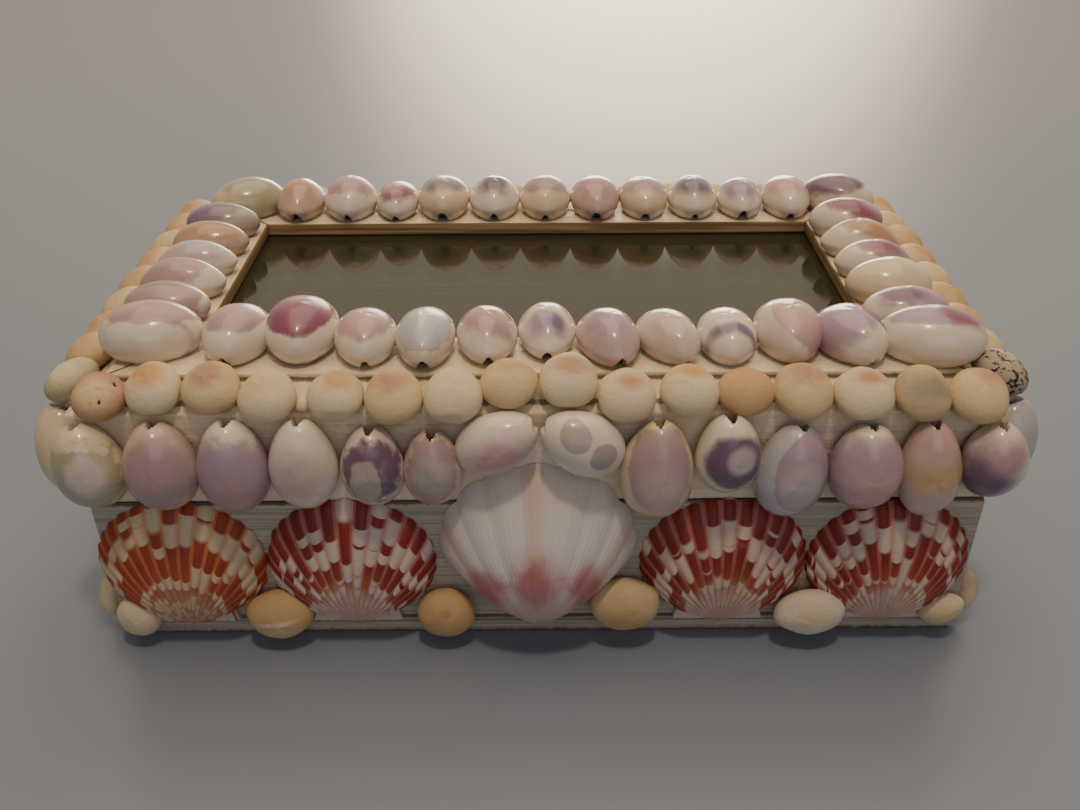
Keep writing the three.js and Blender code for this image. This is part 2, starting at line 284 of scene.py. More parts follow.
def seat(side, face, x, up, lean=0.0, lift=0.0):
    """Where a shell sits: x along a side, up the slope of one of its faces, turned by lean."""
    slope = face_slope[face]
    rise = Vector((0, math.cos(slope), math.sin(slope)))
    out = Vector((0, -math.sin(slope), math.cos(slope)))
    spot = Vector((x, 0, face_edge[face])) + rise * up + out * (glue_line + lift)
    right = Vector((1, 0, 0))
    turn = Matrix.Rotation(-math.radians(lean), 4, out)
    axes = Matrix((right, rise, out)).transposed().to_4x4()
    side_axes = (Matrix.Rotation(side_turn[side], 4, "Z")
                 @ Matrix.Translation((0, -box_half[side], 0)))
    return side_axes @ Matrix.Translation(spot) @ turn @ axes


def joined(name, shape, material, node):
    """Makes one shell or row of shells into a piece, smooth but for its sharpest folds."""
    for face in shape.faces:
        face.smooth = True
    mesh = add_piece(name, shape, material, node)
    mesh.set_sharp_from_angle(angle=math.radians(crease_angle))


# The colours of the shells' layers.
shell_tones = {
    "white": (226, 216, 204), "pearl": (214, 200, 190), "cream": (219, 202, 174),
    "blush": (204, 182, 172), "pink": (200, 166, 162), "rose": (186, 150, 156),
    "mauve": (174, 150, 154), "lilac": (172, 150, 168), "pale": (192, 178, 182),
    "purple": (118, 90, 118), "magenta": (142, 84, 110), "maroon": (126, 82, 96),
    "grey": (178, 168, 160), "slate": (134, 122, 134), "olive": (172, 168, 142),
    "tan": (202, 168, 124), "orange": (206, 160, 112), "brown": (186, 146, 120),
    "sand": (214, 192, 150), "bone": (220, 206, 176), "blue": (184, 182, 190),
    "violet": (128, 114, 148), "moss": (186, 180, 146), "ash": (150, 140, 122)
}

whole = (0, 0, 3, 3)
nowhere = (0, 0, 0.01, 0.01)


def look(ground, patch, oval=whole, soft=0.2, core="white", heart=nowhere, fade=0.2, wear=0.1):
    """A shell's colours: its ground, an oval patch on it and a heart in the patch."""
    return {
        "ground": (*shell_tones[ground], wear), "patch": (*shell_tones[patch], soft),
        "patch_oval": oval, "core": (*shell_tones[core], fade), "core_oval": heart
    }


def point_layers(shape, colours, vectors, numbers=()):
    """What a finish reads from a shell's points: colours, vectors and numbers, by their names."""
    layers = shape.verts.layers
    made = {}
    for kind, names in ((layers.float_color, colours), (layers.float_vector, vectors),
                        (layers.float, numbers)):
        for name in names:
            made[name] = kind.get(name) or kind.new(name)
    return made


def domed_shell(shape, where, width, length, height, colours, seed, taper=0.12, notch=0.0014,
                arch=0.0055, around=72, rings=24, lump=0.03, belly=0.37, foot=0.8, peak=0.0,
                holes=(), chip=0.0):
    """One shell lying mouth down: an egg outline, a belly wider than its mouth, and a crown.

    The foot is the mouth's share of the full width, and the belly is the share of the height at
    which the shell is widest. The notch's half width and its arch are in metres. A peak draws the
    shoulders in, and a chip cuts that share of half the length off the lower end.
    """
    layers = point_layers(shape, ("ground", "patch", "patch_oval", "core", "core_oval"),
                          ("place",), ("shaded_hollow",))
    tints = {name: (tone(*value[:3], value[3]) if name in ("ground", "patch", "core") else value)
             for name, value in colours.items()}
    low = -math.acos(foot)
    ring_crowding = 1.15
    notch_crowding = 1.6
    notch_depth = 2.2 * notch
    bore_depth = 0.0012
    chip_line = (chip - 1) * length / 2
    chip_roughness = 0.0004
    rows = []
    for ring in range(rings):
        swing = low + (math.pi / 2 - low) * (ring / rings) ** ring_crowding
        level = belly * (1 - math.sin(swing) / math.sin(low)) if swing < 0 else (
            belly + (1 - belly) * math.sin(swing))
        row = []
        for step in range(around):
            share = 2 * step / around - 1
            angle = math.pi / 2 + math.pi * math.copysign(abs(share) ** notch_crowding, share)
            across = math.cos(angle) * (1 - taper * math.sin(angle)) / (1 + taper * taper)
            along = math.sin(angle)
            spread = math.cos(swing) * (1 - peak * max(0.0, math.sin(2 * swing)))
            jitter = 1 + lump * noise.noise(
                Vector((across * spread * 1.4, along * spread * 1.4, level + 7.3 * seed)))
            x = across * spread * jitter * width / 2
            y = along * spread * jitter * length / 2
            z = level * height * (1 + 0.6 * lump * noise.noise(
                Vector((across * 1.1, along * 1.1, 3.1 * seed))))
            shaded_hollow = 0.0
            if notch and y > 0:
                mouth = math.hypot(x / notch, z / arch)
                shaded_hollow = min(1.0, max(0.0, (1.15 - mouth) / 0.3))
                y -= notch_depth * shaded_hollow ** 0.5
            for hole_x, hole_y, size in holes:
                near = math.hypot(x - hole_x * width / 2, y - hole_y * length / 2) / size
                dip = min(1.0, max(0.0, 1.5 - near))
                z -= bore_depth * dip * (z > belly * height)
                shaded_hollow = max(shaded_hollow, dip)
            if chip and y < chip_line:
                y = chip_line + chip_roughness * noise.noise(Vector((x * 900, seed, 0)))
            vert = shape.verts.new(where @ Vector((x, y, z)))
            vert[layers["place"]] = (x * 2 / width, y * 2 / length, 0)
            vert[layers["shaded_hollow"]] = shaded_hollow
            for name, value in tints.items():
                vert[layers[name]] = value
            row.append(vert)
        rows.append(row)
    crown = shape.verts.new(where @ Vector((0, 0, height)))
    crown[layers["place"]] = (0, 0, 0)
    for name, value in tints.items():
        crown[layers[name]] = value
    shape.faces.new(list(reversed(rows[0])))
    for lower, upper in zip(rows, rows[1:]):
        for step in range(around):
            after = (step + 1) % around
            shape.faces.new((lower[step], lower[after], upper[after], upper[step]))
    for step in range(around):
        shape.faces.new((rows[-1][step], rows[-1][(step + 1) % around], crown))


def shell_finish(name, roughness, pits, mottle, **constants):
    """The layered colours of a shell, glossy where the enamel is whole and dull where worn."""
    shell = Finish(name, **constants)
    x, y, _ = shell.parts(shell.carried("place", out="Vector"))
    spot = shell.node("ShaderNodeTexCoord", out="Object")
    wander = shell.grain(spot, 190.0, 3.0, 0.55)
    torn = shell.grain(spot, 330.0, 2.0, 0.5)
    fine = shell.grain(spot, 900.0, 3.0, 0.65)
    shaded_hollow = shell.carried("shaded_hollow", out="Fac")
    colour = shell.carried("ground")
    wear = shell.carried("ground", out="Alpha")
    dull = 0
    for layer in ("patch", "core"):
        oval = shell.parts(shell.carried(layer + "_oval", out="Vector"))
        tall = shell.carried(layer + "_oval", out="Alpha")
        soft = shell.carried(layer, out="Alpha")
        reach = (((x - oval[0]) / oval[2]) ** 2 + ((y - oval[1]) / tall) ** 2) ** 0.5
        ragged = (torn - 0.5) * wear.rises(0.15, 0.4) * 0.8
        reach = reach + (wander - 0.5) * (0.2 + soft) + (fine - 0.5) * 0.06 + ragged
        inside = 1 - reach.rises(1 - soft, 1 + soft)
        edge = inside * (1 - inside) * 4 * (1 - soft.rises(0.05, 0.22))
        colour = shell.blend(inside, colour, shell.carried(layer))
        colour = shell.shaded(colour, 1 - edge * 0.22)
        dull = inside * (1 - soft.rises(0.04, 0.2)) * 0.5 + dull
    mottled = 1 + (wander - 0.5) * mottle + (fine - 0.5) * mottle * 0.8
    colour = shell.shaded(colour, mottled)
    worn = (wander + wear - 0.5).rises(0.3, 0.55)
    colour = shell.blend(worn * 0.4, colour, tone(202, 190, 172))
    crust = wear.rises(0.75, 0.9) * (fine + torn * 0.6).rises(0.84, 0.9)
    colour = shell.blend(crust, colour, tone(58, 52, 46))
    # The notches and worm holes are coloured near black: painted shade in these hollows.
    colour = shell.blend(shaded_hollow.rises(0.3, 0.75), colour, tone(38, 28, 20))
    speck = shell.grain(spot, 1500.0, 2.0, 0.6).rises(0.7, 0.76) * 0.35
    colour = shell.blend(speck, colour, tone(120, 96, 74))
    relief = wander * 0.5 + fine * pits
    shell.wear(Base_Color=colour, Roughness=roughness + worn * 0.25 + dull * 0.3 + fine * 0.08,
               Normal=shell.bump(relief, 0.0005, 0.5))
    return shell.material


cowrie_enamel = shell_finish("cowrie_enamel", roughness=0.16, pits=0.12, mottle=0.14,
                             Coat_Weight=0.4, Coat_Roughness=0.06, IOR=1.53)

# Along the front, in millimetres and degrees: centre, height above the table, width, length,
# lean and colours.
skirt_front = [
    (-114.2, 63.3, 18.5, 24.6, -6,
     look("bone", "olive", (-0.1, -0.1, 1.0, 0.82), 0.1,
          "pearl", (0.2, 0.08, 0.5, 0.48), 0.3, 0.3)),
    (-96, 63.3, 19.2, 25.8, 0,
     look("blush", "mauve", (0.05, 0.02, 0.86, 0.82), 0.22, "rose", (0, 0.2, 0.5, 0.4), 0.6, 0.0)),
    (-77.7, 62.9, 18.6, 26.8, 0,
     look("white", "lilac", (0, -0.6, 1.5, 1.36), 0.08, "rose", (0.1, -0.4, 0.7, 0.5), 0.6, 0.0)),
    (-59.8, 63.4, 17.9, 26, 0, look("white", "blush", (0, 0, 0.7, 0.5), 0.6, wear=0.12)),
    (-42.2, 62.5, 16.6, 23.5, 0,
     look("pearl", "purple", (0.05, 0.1, 0.84, 0.74), 0.08,
          "grey", (-0.12, -0.1, 0.5, 0.58), 0.1, 0.3)),
    (-26.7, 61.8, 15.6, 22, 0,
     look("blush", "mauve", (0, 0.12, 0.8, 0.78), 0.07,
          "grey", (0.05, 0.05, 0.55, 0.5), 0.3, 0.35)),
    (-10.2, 69.4, 16.2, 22.5, 62, look("white", "pink", (0.2, 0, 0.7, 0.7), 0.5, wear=0.0)),
    (11.4, 69.2, 17, 23, -62,
     look("white", "grey", (0.42, 0.36, 0.4, 0.34), 0.1,
          "grey", (0.24, -0.4, 0.42, 0.28), 0.1, 0.05)),
    (30.6, 61.2, 19.3, 28.8, 0,
     look("cream", "mauve", (0, 0.18, 0.78, 0.78), 0.05,
          "blush", (0.05, -0.15, 0.62, 0.55), 0.6, 0.0)),
    (48.5, 65.8, 17, 22.5, 0,
     look("white", "purple", (0.08, 0.06, 0.84, 0.68), 0.12,
          "pale", (0.25, 0.15, 0.42, 0.36), 0.3, 0.0)),
    (65.1, 60.8, 18.8, 27.3, 6,
     look("blue", "lilac", (0.16, 0.16, 0.74, 0.78), 0.08,
          "pale", (0.12, -0.05, 0.58, 0.5), 0.3, 0.12)),
    (84, 62, 19.2, 24.6, 0,
     look("white", "lilac", (0, -0.4, 1.5, 1.24), 0.12, "pink", (0.1, -0.2, 0.9, 0.6), 0.7, 0.0)),
    (100.7, 60.5, 16.4, 28.8, -5,
     look("blush", "tan", (0.1, 0.08, 1.1, 0.3), 0.8, "pink", (0, 0.7, 0.6, 0.3), 0.5, 0.05)),
    (116.6, 63.4, 17, 21.6, 0,
     look("white", "purple", (-0.45, -0.3, 0.8, 0.8), 0.5,
          "rose", (0.15, 0.4, 0.6, 0.4), 0.6, 0.0)),
]
# What the other sides' cowries look like, taken in turn.
cowrie_looks = [
    look("white", "blush", (0, -0.3, 0.8, 0.6), 0.4),
    look("white", "lilac", (0, -0.3, 0.9, 0.7), 0.15),
    look("blush", "mauve", (0, 0, 0.8, 0.8), 0.25),
    look("white", "purple", (0, -0.2, 0.7, 0.6), 0.2, "pale", (0.1, -0.3, 0.4, 0.4), 0.2),
    look("cream", "tan", (0, -0.2, 0.8, 0.6), 0.35),
    look("white", "rose", (0, -0.1, 0.9, 0.8), 0.3),
    look("blue", "slate", (0, -0.2, 0.7, 0.6), 0.15, "grey", (0, -0.2, 0.4, 0.4), 0.1, 0.2),
]
# A cowrie's height as a share of its width, and the sizes and numbers on the other sides, where
# neighbours press a little into each other.
cowrie_height = 0.67
cowrie_width = 0.018
cowrie_length = 0.025
squeezed = 1.03
skirt_middle = 0.0615
skirt_counts = {"right": 8, "back": 14, "left": 8}


def row_span(side, node):
    """How far a row of shells reaches along its side, in that side's own direction."""
    low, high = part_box(node)
    spans = {"front": (low.x, high.x), "right": (low.y, high.y),
             "back": (-high.x, -low.x), "left": (-high.y, -low.y)}
    return spans[side]


def evenly(side, node, widths):
    """The centres of shells of these widths that fill a row's reach."""
    low, high = row_span(side, node)
    scale = (high - low) / sum(widths)
    centres = []
    for width in widths:
        centres.append(low + width * scale / 2)
        low += width * scale
    return centres, scale


def cowrie(shape, where, width, length, colours, seed, **more):
    domed_shell(shape, where, width, length, cowrie_height * width, colours, seed, **more)


def add_skirt_cowries(side, seed):
    shape = bmesh.new()
    if side == "front":
        for i, (x, up, width, length, lean, colours) in enumerate(skirt_front):
            cowrie(shape, seat("front", "wall", x / 1000, up / 1000, lean), width / 1000,
                   length / 1000, colours, seed + i)
    else:
        chance = random.Random(seed)
        widths = [cowrie_width * chance.uniform(0.93, 1.07) for _ in range(skirt_counts[side])]
        centres, scale = evenly(side, f"{side}_skirt_cowries", widths)
        for i, (x, width) in enumerate(zip(centres, widths)):
            up = skirt_middle + chance.uniform(-0.001, 0.001)
            where = seat(side, "wall", x, up, chance.uniform(-5, 5))
            cowrie(shape, where, width * scale * squeezed,
                   cowrie_length * chance.uniform(0.95, 1.05),
                   cowrie_looks[(3 * i + seed) % len(cowrie_looks)], seed + i)
    joined(f"{side}_skirt_shells", shape, cowrie_enamel, f"{side}_skirt_cowries")


for seed, side in enumerate(sides):
    add_skirt_cowries(side, 20 * seed)


# ------------------------ cowries round the window
# A ring of the same cowries on the lid's flat top, one large one laid cornerwise at each corner.
# Their notched ends face out at the front and the window on the other sides; their backs are
# rubbed down to the purple and pink layers.

# Along the front, in millimetres and degrees: centre, distance in from the front, width, length
# and lean, then the peak, half the notch's width in metres, and the colours.
top_front = [
    (-101.8, 22, 20, 27, 84, 0.0, 0.0011,
     look("white", "rose", (-0.3, 0.05, 0.96, 0.9), 0.05,
          "mauve", (0.45, 0.1, 0.12, 0.7), 0.4, 0.0)),
    (-79.5, 21.5, 17.8, 23, 187, 0.0, 0.0012,
     look("white", "mauve", (0, -0.2, 0.84, 0.92), 0.07, "rose", (0, 0.1, 0.5, 0.4), 0.6, 0.0)),
    (-62.4, 23, 19.9, 25, 180, 0.0, 0.0,
     look("white", "magenta", (0, -0.08, 0.84, 0.95), 0.04, "rose", (0, -0.5, 0.5, 0.4), 0.6, 0.0)),
    (-45.1, 20, 16.8, 22, 175, 0.03, 0.001,
     look("white", "rose", (0, -0.1, 0.82, 0.86), 0.1, "pink", (0.2, 0.2, 0.5, 0.4), 0.6, 0.0)),
    (-29.4, 20, 16, 25, 179, 0.0, 0.0013,
     look("pearl", "blue", (0, 0, 0.86, 0.93), 0.03, "white", (0.05, 0.06, 0.13, 0.44), 0.1, 0.05)),
    (-13.2, 21.5, 16.6, 23, 176, 0.1, 0.0011,
     look("white", "rose", (-0.05, -0.1, 0.82, 0.84), 0.22,
          "mauve", (-0.5, 0.45, 0.3, 0.2), 0.5, 0.0)),
    (2.7, 24, 16, 23, 180, 0.12, 0.0012,
     look("white", "lilac", (0.1, 0.42, 0.5, 0.36), 0.5,
          "violet", (-0.3, 0.42, 0.3, 0.26), 0.6, 0.0)),
    (19, 19.5, 16.8, 23, 166, 0.1, 0.0013,
     look("blush", "lilac", (0, 0.2, 0.8, 0.6), 0.6, wear=0.0)),
    (34.8, 20, 15.8, 22, 155, 0.04, 0.0006,
     look("pearl", "blush", (0.3, 0.3, 0.5, 0.6), 0.5, wear=0.0)),
    (50.2, 20, 16, 22, 180, 0.04, 0.0,
     look("white", "slate", (0, 0.5, 0.85, 0.16), 0.6,
          "violet", (-0.42, 0.48, 0.34, 0.13), 0.4, 0.0)),
    (66.6, 21.5, 18.4, 24, 180, 0.0, 0.0,
     look("pearl", "rose", (-0.25, 0, 0.8, 0.93), 0.04, "pink", (-0.1, 0.3, 0.5, 0.5), 0.5, 0.0)),
    (82.7, 19.5, 17.8, 23, 158, 0.0, 0.001,
     look("white", "lilac", (0.2, -0.1, 0.9, 0.8), 0.14,
          "maroon", (-0.62, 0.1, 0.36, 0.5), 0.06, 0.0)),
    (103, 17.5, 19.5, 28, -82, 0.0, 0.0,
     look("white", "lilac", (0.36, 0, 0.94, 0.92), 0.06,
          "magenta", (-0.15, -0.4, 0.34, 0.4), 0.5, 0.0)),
]
# On the other sides, in turn: width, length and colours.
top_others = {
    "right": [
        (16, 24,
         look("white", "lilac", (0.2, -0.2, 0.95, 0.85), 0.08,
              "purple", (-0.25, 0.2, 0.4, 0.5), 0.4)),
        (18, 25, look("bone", "cream", (0, 0, 0.7, 0.7), 0.5)),
        (16, 23,
         look("white", "lilac", (0.2, -0.3, 0.95, 0.85), 0.06,
              "magenta", (-0.1, -0.2, 0.5, 0.5), 0.6)),
        (16.5, 24, look("white", "brown", (0.2, -0.35, 1.0, 0.9), 0.14)),
        (17.5, 24,
         look("white", "magenta", (0.1, -0.3, 0.95, 0.95), 0.12,
              "lilac", (0, -0.7, 0.6, 0.4), 0.5)),
    ],
    "back": [
        (20, 25, look("white", "purple", (0, -0.2, 0.9, 0.85), 0.08)),
        (17, 23, look("white", "pink", (0, -0.1, 0.85, 0.8), 0.2)),
        (16, 22, look("white", "lilac", (0, -0.1, 0.85, 0.86), 0.2)),
        (17.7, 22,
         look("white", "slate", (0, 0.2, 0.7, 0.5), 0.3, "violet", (0, 0.36, 0.4, 0.2), 0.4)),
        (17, 22, look("cream", "mauve", (0, -0.1, 0.9, 0.74), 0.15)),
        (17.5, 23.5, look("blush", "rose", (0, -0.05, 0.9, 0.92), 0.25)),
        (18, 22, look("cream", "mauve", (0, -0.1, 0.85, 0.7), 0.12)),
        (18, 22, look("white", "purple", (0, 0.2, 0.55, 0.4), 0.5)),
        (18, 23,
         look("cream", "slate", (0, -0.1, 0.8, 0.72), 0.15, "mauve", (0, -0.2, 0.4, 0.4), 0.5)),
        (15, 22,
         look("white", "magenta", (0, -0.1, 0.82, 0.9), 0.15, "rose", (0.2, 0, 0.5, 0.5), 0.6)),
        (18.5, 23, look("white", "rose", (0, -0.15, 0.9, 0.78), 0.1)),
        (17, 23, look("blush", "brown", (0, 0.1, 0.7, 0.7), 0.6)),
        (20, 25, look("bone", "olive", (0, -0.3, 1.1, 1.0), 0.2)),
    ],
    "left": [
        (16, 24,
         look("grey", "slate", (0, -0.3, 0.95, 0.85), 0.12, "violet", (0.1, -0.5, 0.6, 0.4), 0.5)),
        (15.5, 24, look("blush", "brown", (0, -0.1, 0.95, 0.95), 0.4)),
        (15, 24, look("white", "pale", (0.2, -0.1, 0.8, 0.8), 0.4)),
        (16.5, 25,
         look("white", "rose", (0, -0.4, 1.1, 0.95), 0.1, "mauve", (0.2, -0.3, 0.5, 0.5), 0.6)),
        (16, 24,
         look("white", "mauve", (0.1, 0, 0.9, 0.88), 0.05, "ash", (-0.35, -0.1, 0.5, 0.75), 0.08)),
    ],
}
top_inset = {"right": 0.0183, "back": 0.018, "left": 0.0165}
corner_width = 0.018
corner_lean = 60
top_squeezed = 1.02


def add_top_cowries(side, seed):
    shape = bmesh.new()
    if side == "front":
        for i, (x, up, width, length, lean, peak, notch, colours) in enumerate(top_front):
            cowrie(shape, seat("front", "top", x / 1000, up / 1000, lean), width / 1000,
                   length / 1000, colours, seed + i, notch=notch, arch=2.3 * notch + 0.0001,
                   peak=peak)
    else:
        row = top_others[side]
        widths = [width / 1000 for width, _, _ in row]
        centres, scale = evenly(side, f"{side}_top_cowries", widths)
        for i, (x, (width, length, colours)) in enumerate(zip(centres, row)):
            width = width / 1000 * scale * top_squeezed
            corner = side == "back" and i in (0, len(row) - 1)
            lean = math.copysign(corner_lean, x) if corner else 0
            size = corner_width if corner else width
            cowrie(shape, seat(side, "top", x, top_inset[side], lean), size, length / 1000,
                   colours, seed + i, notch=0.001 + 0.0002 * (i % 3),
                   arch=0.0018 + 0.0006 * (i % 3), peak=0.04 * (i % 4))
    joined(f"{side}_top_shells", shape, cowrie_enamel, f"{side}_top_cowries")


for seed, side in enumerate(sides):
    add_top_cowries(side, 100 + 20 * seed)


# ------------------------ round shells on the bevel
# Small thick shells rolled smooth and matt by the sea, cream to orange-tan, side by side on the
# lid's sloping bevel. Worms have bored the first, and a bead of glue fills a gap after the fourth.
worn_chalk = shell_finish("sea_worn_shell", roughness=0.62, pits=0.9, mottle=0.16,
                          Specular_IOR_Level=0.35)

# Along the front, in millimetres: centre, distance up the slope, width, length and colours.
bevel_front = [
    (-110, 3.4, 13.8, 13.5, look("brown", "sand", (0, -0.2, 0.7, 0.6), 0.6)),
    (-96.7, 5.6, 14.2, 14.7, look("bone", "orange", (-0.1, 0.3, 0.6, 0.55), 0.5)),
    (-82, 5.6, 14.8, 15, look("sand", "brown", (-0.1, 0.25, 0.6, 0.5), 0.6)),
    (-67.7, 3.2, 14.8, 14.5, look("bone", "sand", (-0.1, 0.2, 0.7, 0.5), 0.6)),
    (-59.2, 2.6, 4.6, 5.4, look("sand", "bone", (0, 0, 0.5, 0.5), 0.3)),
    (-50.5, 3.2, 14.6, 14, look("bone", "tan", (0.1, 0.4, 0.6, 0.5), 0.7)),
    (-36, 2.9, 14.8, 15.6, look("sand", "brown", (-0.1, 0.3, 0.6, 0.4), 0.7)),
    (-21.2, 2.8, 15, 15.8, look("bone", "cream", (0, 0, 0.6, 0.6), 0.5)),
    (-7.2, 6.6, 15.2, 13.7, look("sand", "tan", (0.2, 0.5, 0.8, 0.4), 0.7)),
    (8, 7, 15.2, 15.4, look("bone", "brown", (0.1, 0.3, 0.55, 0.4), 0.7)),
    (22.5, 2.8, 15.2, 14.5, look("cream", "brown", (0.1, 0.2, 0.4, 0.3), 0.8)),
    (38.2, 4.1, 15.2, 14.5, look("bone", "orange", (0.1, 0.5, 0.6, 0.3), 0.7)),
    (52.5, 4.0, 14.4, 13.2, look("tan", "orange", (0, 0.5, 0.5, 0.3), 0.7)),
    (66.8, 3.7, 15, 15.8, look("sand", "brown", (0, 0.35, 0.6, 0.45), 0.7)),
    (82, 2.9, 15.8, 14.4, look("bone", "brown", (0.1, 0.3, 0.5, 0.3), 0.7)),
    (96.8, 3.0, 14.2, 16.1, look("sand", "ash", (0, -0.1, 0.9, 0.6), 0.8)),
    (110.6, 2.2, 14.8, 15.7, look("sand", "brown", (0.4, 0.5, 0.6, 0.4), 0.7)),
]
# The worm holes: place across and along the shell, as shares of its half sizes, and size.
bored = ((0.1, -0.05, 0.00055), (0.62, 0.3, 0.0006), (-0.2, 0.42, 0.0003), (0.3, -0.5, 0.0005),
         (-0.05, -0.62, 0.0005))
worn_looks = [
    look("bone", "sand", (0, 0, 0.8, 0.7), 0.5), look("sand", "tan", (0, 0.1, 0.7, 0.6), 0.5),
    look("cream", "orange", (0, 0.1, 0.7, 0.6), 0.5), look("bone", "cream", (0, 0, 0.6, 0.6), 0.4),
    look("sand", "tan", (0, 0, 0.9, 0.8), 0.6), look("sand", "brown", (0, 0, 0.5, 0.5), 0.5),
]

# The shells at the front end of the side rows: a greenish one, and one left grey and gritty.
end_looks = {
    ("left", 8): look("moss", "bone", (0.3, 0.2, 0.5, 0.5), 0.5),
    ("right", 0): look("ash", "grey", (0.2, 0, 0.6, 0.6), 0.5, wear=1.0),
}
end_growth = 1.12
round_width = 0.015
round_length = 0.0145
bevel_counts = {"right": 9, "back": 16, "left": 9}
bevel_up = {"right": 0.0012, "back": 0.0028, "left": 0.0008}
# In the front row, counted from nought, these two are chipped at the foot.
chipped = {5: 0.16, 7: 0.16}


def worn_shell(shape, where, width, length, colours, seed, **more):
    domed_shell(shape, where, width, length, 0.6 * min(width, length), colours, seed, taper=0.05,
                notch=0.0, around=40, rings=14, lump=0.07, belly=0.42, foot=0.62, **more)


def add_bevel_shells(side, seed):
    shape = bmesh.new()
    if side == "front":
        for i, (x, up, width, length, colours) in enumerate(bevel_front):
            worn_shell(shape, seat("front", "bevel", x / 1000, up / 1000), width / 1000,
                       length / 1000, colours, seed + i, holes=bored if i == 0 else (),
                       chip=chipped.get(i, 0.0))
    else:
        chance = random.Random(seed)
        widths = [round_width * chance.uniform(0.92, 1.08) for _ in range(bevel_counts[side])]
        centres, scale = evenly(side, f"{side}_bevel_shells", widths)
        for i, (x, width) in enumerate(zip(centres, widths)):
            end = end_looks.get((side, i))
            where = seat(side, "bevel", x, bevel_up[side], chance.uniform(-20, 20))
            length = round_length * chance.uniform(0.93, 1.07) * (end_growth if end else 1)
            worn_shell(shape, where, width * scale, length,
                       end or worn_looks[(2 * i + seed) % len(worn_looks)], seed + i)
    joined(f"{side}_bevel_row", shape, worn_chalk, f"{side}_bevel_shells")


for seed, side in enumerate(sides):
    add_bevel_shells(side, 200 + 20 * seed)


# ------------------------ small shells of the base
# Single shells of the same sea-worn kind, cockles and moon snails, glued between the scallops
# just above the foot of each wall.

# Along the front, in millimetres and degrees: centre, height above the table, width, length,
# lean and colours. The fifth stands proud on its glue.
small_front = [
    (-113, 10.3, 12.6, 13.5, 0, look("bone", "cream", (0, 0, 0.6, 0.6), 0.4)),
    (-72.8, 11.5, 16, 19, 80,
     look("tan", "bone", (-0.05, -0.1, 0.1, 0.6), 0.6, "sand", (0.5, 0, 0.4, 0.8), 0.6)),
    (-26, 11.5, 16.5, 15.8, 0,
     look("tan", "orange", (-0.1, 0.35, 0.4, 0.35), 0.6, "brown", (0, 0.45, 0.2, 0.16), 0.6)),
    (24.3, 14.6, 17, 20, 90, look("sand", "tan", (0.2, 0, 0.8, 0.6), 0.6)),
    (76, 12.4, 14.5, 20, -90, look("white", "cream", (0.3, 0, 0.6, 0.6), 0.6)),
    (114.2, 10.6, 10, 13, 70, look("bone", "sand", (0, 0, 0.6, 0.6), 0.6)),
]
proud_shell = 5
proud_lift = 0.0018
# On the other sides: centre, height above the table, width and length.
small_others = {
    "right": [(-64, 11, 11, 13), (-21.5, 11.5, 15, 14), (21.5, 11.5, 15, 14)],
    "back": [(x, 11, 13, 14) for x in (-114, -71.5, -24, 24, 71.5, 114)],
    "left": [(-21.5, 11.5, 15, 14), (21.5, 11.5, 15, 14), (64, 11, 11, 13)],
}


def add_small_shell(side, number, x, up, width, length, lean, colours, lift=0.0):
    shape = bmesh.new()
    worn_shell(shape, seat(side, "wall", x / 1000, up / 1000, lean, lift), width / 1000,
               length / 1000, colours, 300 + number + 10 * sides.index(side))
    joined(f"{side}_pebble_shell_{number}", shape, worn_chalk,
           f"{side}_small_shell_{number}")


for number, (x, up, width, length, lean, colours) in enumerate(small_front, 1):
    add_small_shell("front", number, x, up, width, length, lean, colours,
                    proud_lift if number == proud_shell else 0.0)
for side, shells in small_others.items():
    for number, (x, up, width, length) in enumerate(shells, 1):
        add_small_shell(side, number, x, up, width, length, 0,
                        worn_looks[(number + sides.index(side)) % len(worn_looks)])


# ------------------------ scallops round the base
# Calico scallop valves, hinge down and ribs fanning upwards, red and orange on white, glued flat
# to the walls. The larger pale one in the middle of the front stands proud of the others.
hinge_line = 6.5
# The colours between the bands, of the bands and in the grooves, and how far the bands jump
# from rib to rib.
calico = {
    "rust": ((216, 196, 164), (160, 62, 36), (206, 128, 78), 0.3),
    "scarlet": ((216, 198, 188), (138, 38, 32), (196, 128, 112), 1.5),
    "crimson": ((214, 194, 180), (136, 38, 30), (190, 118, 98), 0.55),
}
# Centre along the side, hinge height, width and height in millimetres, kind, how much of the
# shell is coloured, and the turn of its bands.
scallops = {
    "front": [
        (-98.2, hinge_line, 47, 42, "rust", 0.68, 0.1),
        (-51.6, hinge_line, 47, 42.5, "scarlet", 0.66, 0.4),
        (0, 7.5, 54, 52.5, "pale", 0.0, 0.3),
        (51.2, hinge_line, 46.5, 42, "crimson", 0.69, 0.25),
        (96.6, hinge_line, 45, 41.5, "crimson", 0.71, 0.12),
    ],
    "right": [(x, hinge_line, 42, 40, kind, 0.62, turn)
              for x, kind, turn in ((-43, "crimson", 0.5), (0, "rust", 0.8),
                                    (43, "scarlet", 0.6))],
    "back": [(x, hinge_line, 46, 41.5, kind, 0.62, turn)
             for x, kind, turn in ((-95, "scarlet", 0.9), (-48, "crimson", 0.35), (0, "rust", 0.7),
                                   (48, "scarlet", 0.15), (95, "crimson", 0.75))],
    "left": [(x, hinge_line, 42, 40, kind, 0.62, turn)
             for x, kind, turn in ((-43, "rust", 0.2), (0, "crimson", 0.45),
                                   (43, "scarlet", 0.05))],
}


def scallop_layers(shape):
    return point_layers(shape, ("ground", "streak", "groove"), ("fan",))


